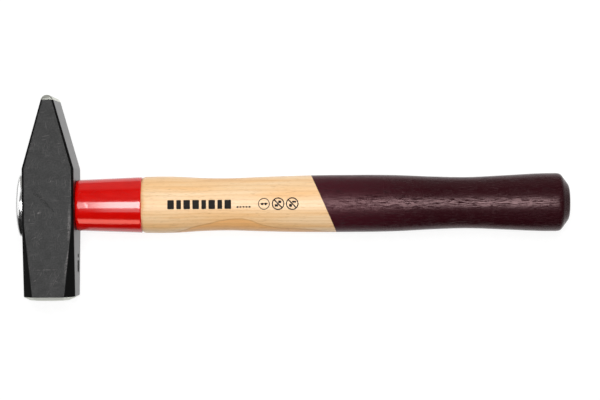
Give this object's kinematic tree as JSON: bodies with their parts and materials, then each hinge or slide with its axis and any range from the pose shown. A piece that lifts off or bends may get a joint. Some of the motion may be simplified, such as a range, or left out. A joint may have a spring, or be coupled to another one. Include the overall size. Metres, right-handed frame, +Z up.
{
  "type": "cross peen hammer",
  "caption": "Engineer's hammer with a square crowned face and a cross peen, oval wooden handle with a lacquered grip, steel neck sleeve and a screwed retaining plate over the eye.",
  "frame": {"origin": "on the lower cheek of the head, under the middle of the eye, with the hammer lying on that cheek", "axes": "+X along the handle towards the grip, +Y along the head towards the peen, +Z up, square to the cheeks"},
  "size_m": [0.3554, 0.1314, 0.033],
  "materials": {
    "black_lacquered_steel": "forged steel under satin black lacquer, striking face bevel and peen tip ground bright",
    "hickory": "fine sanded clear wood, grip end dipped in plum lacquer",
    "beech": "sawn wood",
    "red_enamelled_steel": "gloss red enamel on rolled sheet steel",
    "chromed_steel": "bright plated pressed steel",
    "zinc_plated_steel": "zinc plated",
    "marking_ink": null
  },
  "bodies": {
    "root": {"hammer_head": "black_lacquered_steel", "handle": "hickory", "handle_wedge": "beech", "protective_sleeve": "red_enamelled_steel", "retaining_plate": "chromed_steel", "retaining_screw": "zinc_plated_steel"}
  },
  "joints": []
}
